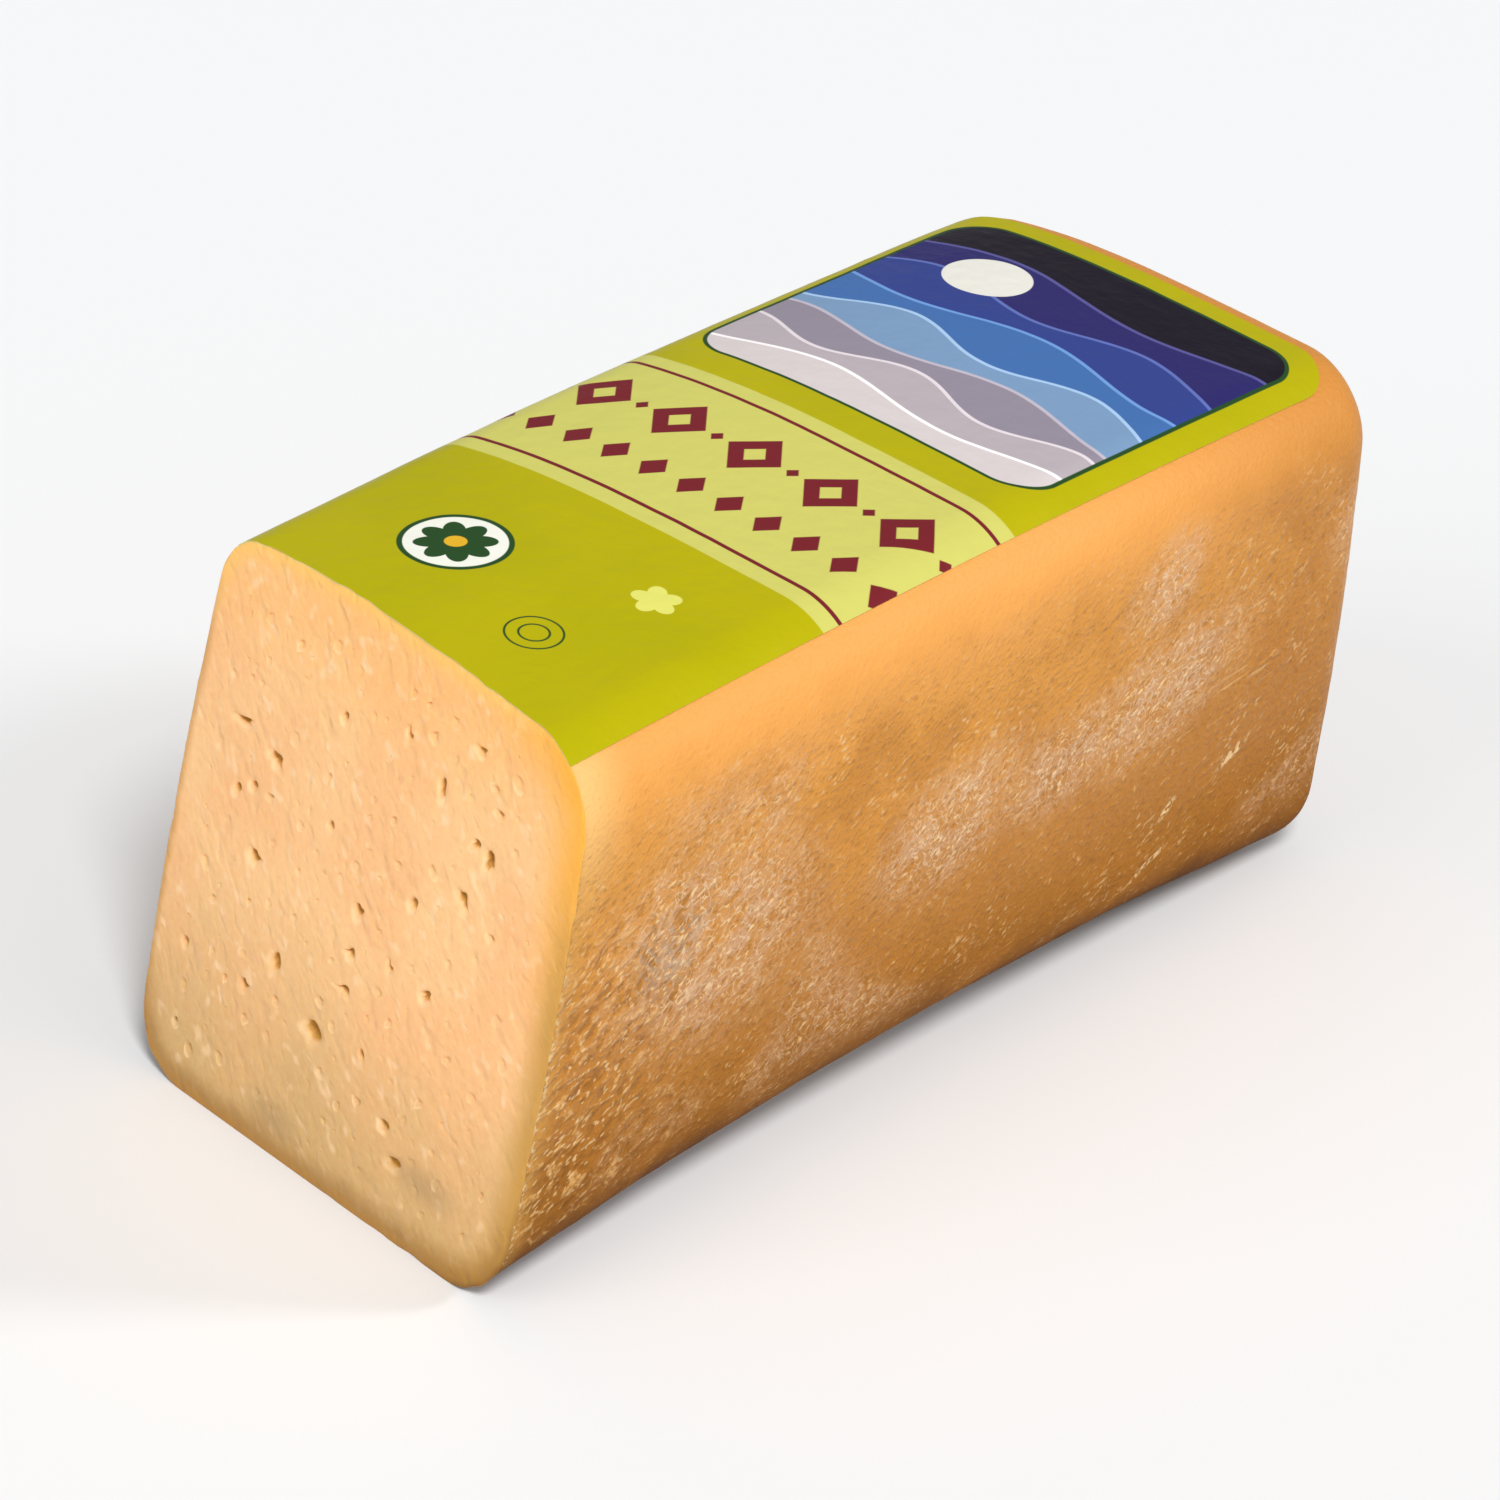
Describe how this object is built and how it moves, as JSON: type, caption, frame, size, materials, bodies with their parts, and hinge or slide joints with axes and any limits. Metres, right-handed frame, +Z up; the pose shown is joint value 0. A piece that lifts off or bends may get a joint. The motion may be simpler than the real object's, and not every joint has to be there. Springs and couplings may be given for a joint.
{
  "type": "cheese block",
  "caption": "Cut end of a long, square cheese loaf: rounded rind edges, one slightly slanted cut face with small eyes, and a paper label along its top.",
  "frame": {"origin": "middle of the block's bounding box, at its base", "axes": "+Y along the loaf, from the cut face towards the loaf's rounded end; +X across the loaf, towards the right-hand rind side as seen from the cut face; +Z up, towards the label"},
  "size_m": [0.1114, 0.2666, 0.118],
  "materials": {
    "cheese": "smooth, slightly moist paste with a firm, satin golden-brown rind",
    "label": "thin printed paper, satin"
  },
  "bodies": {
    "root": {"cheese": "cheese", "label": "label"}
  },
  "joints": []
}
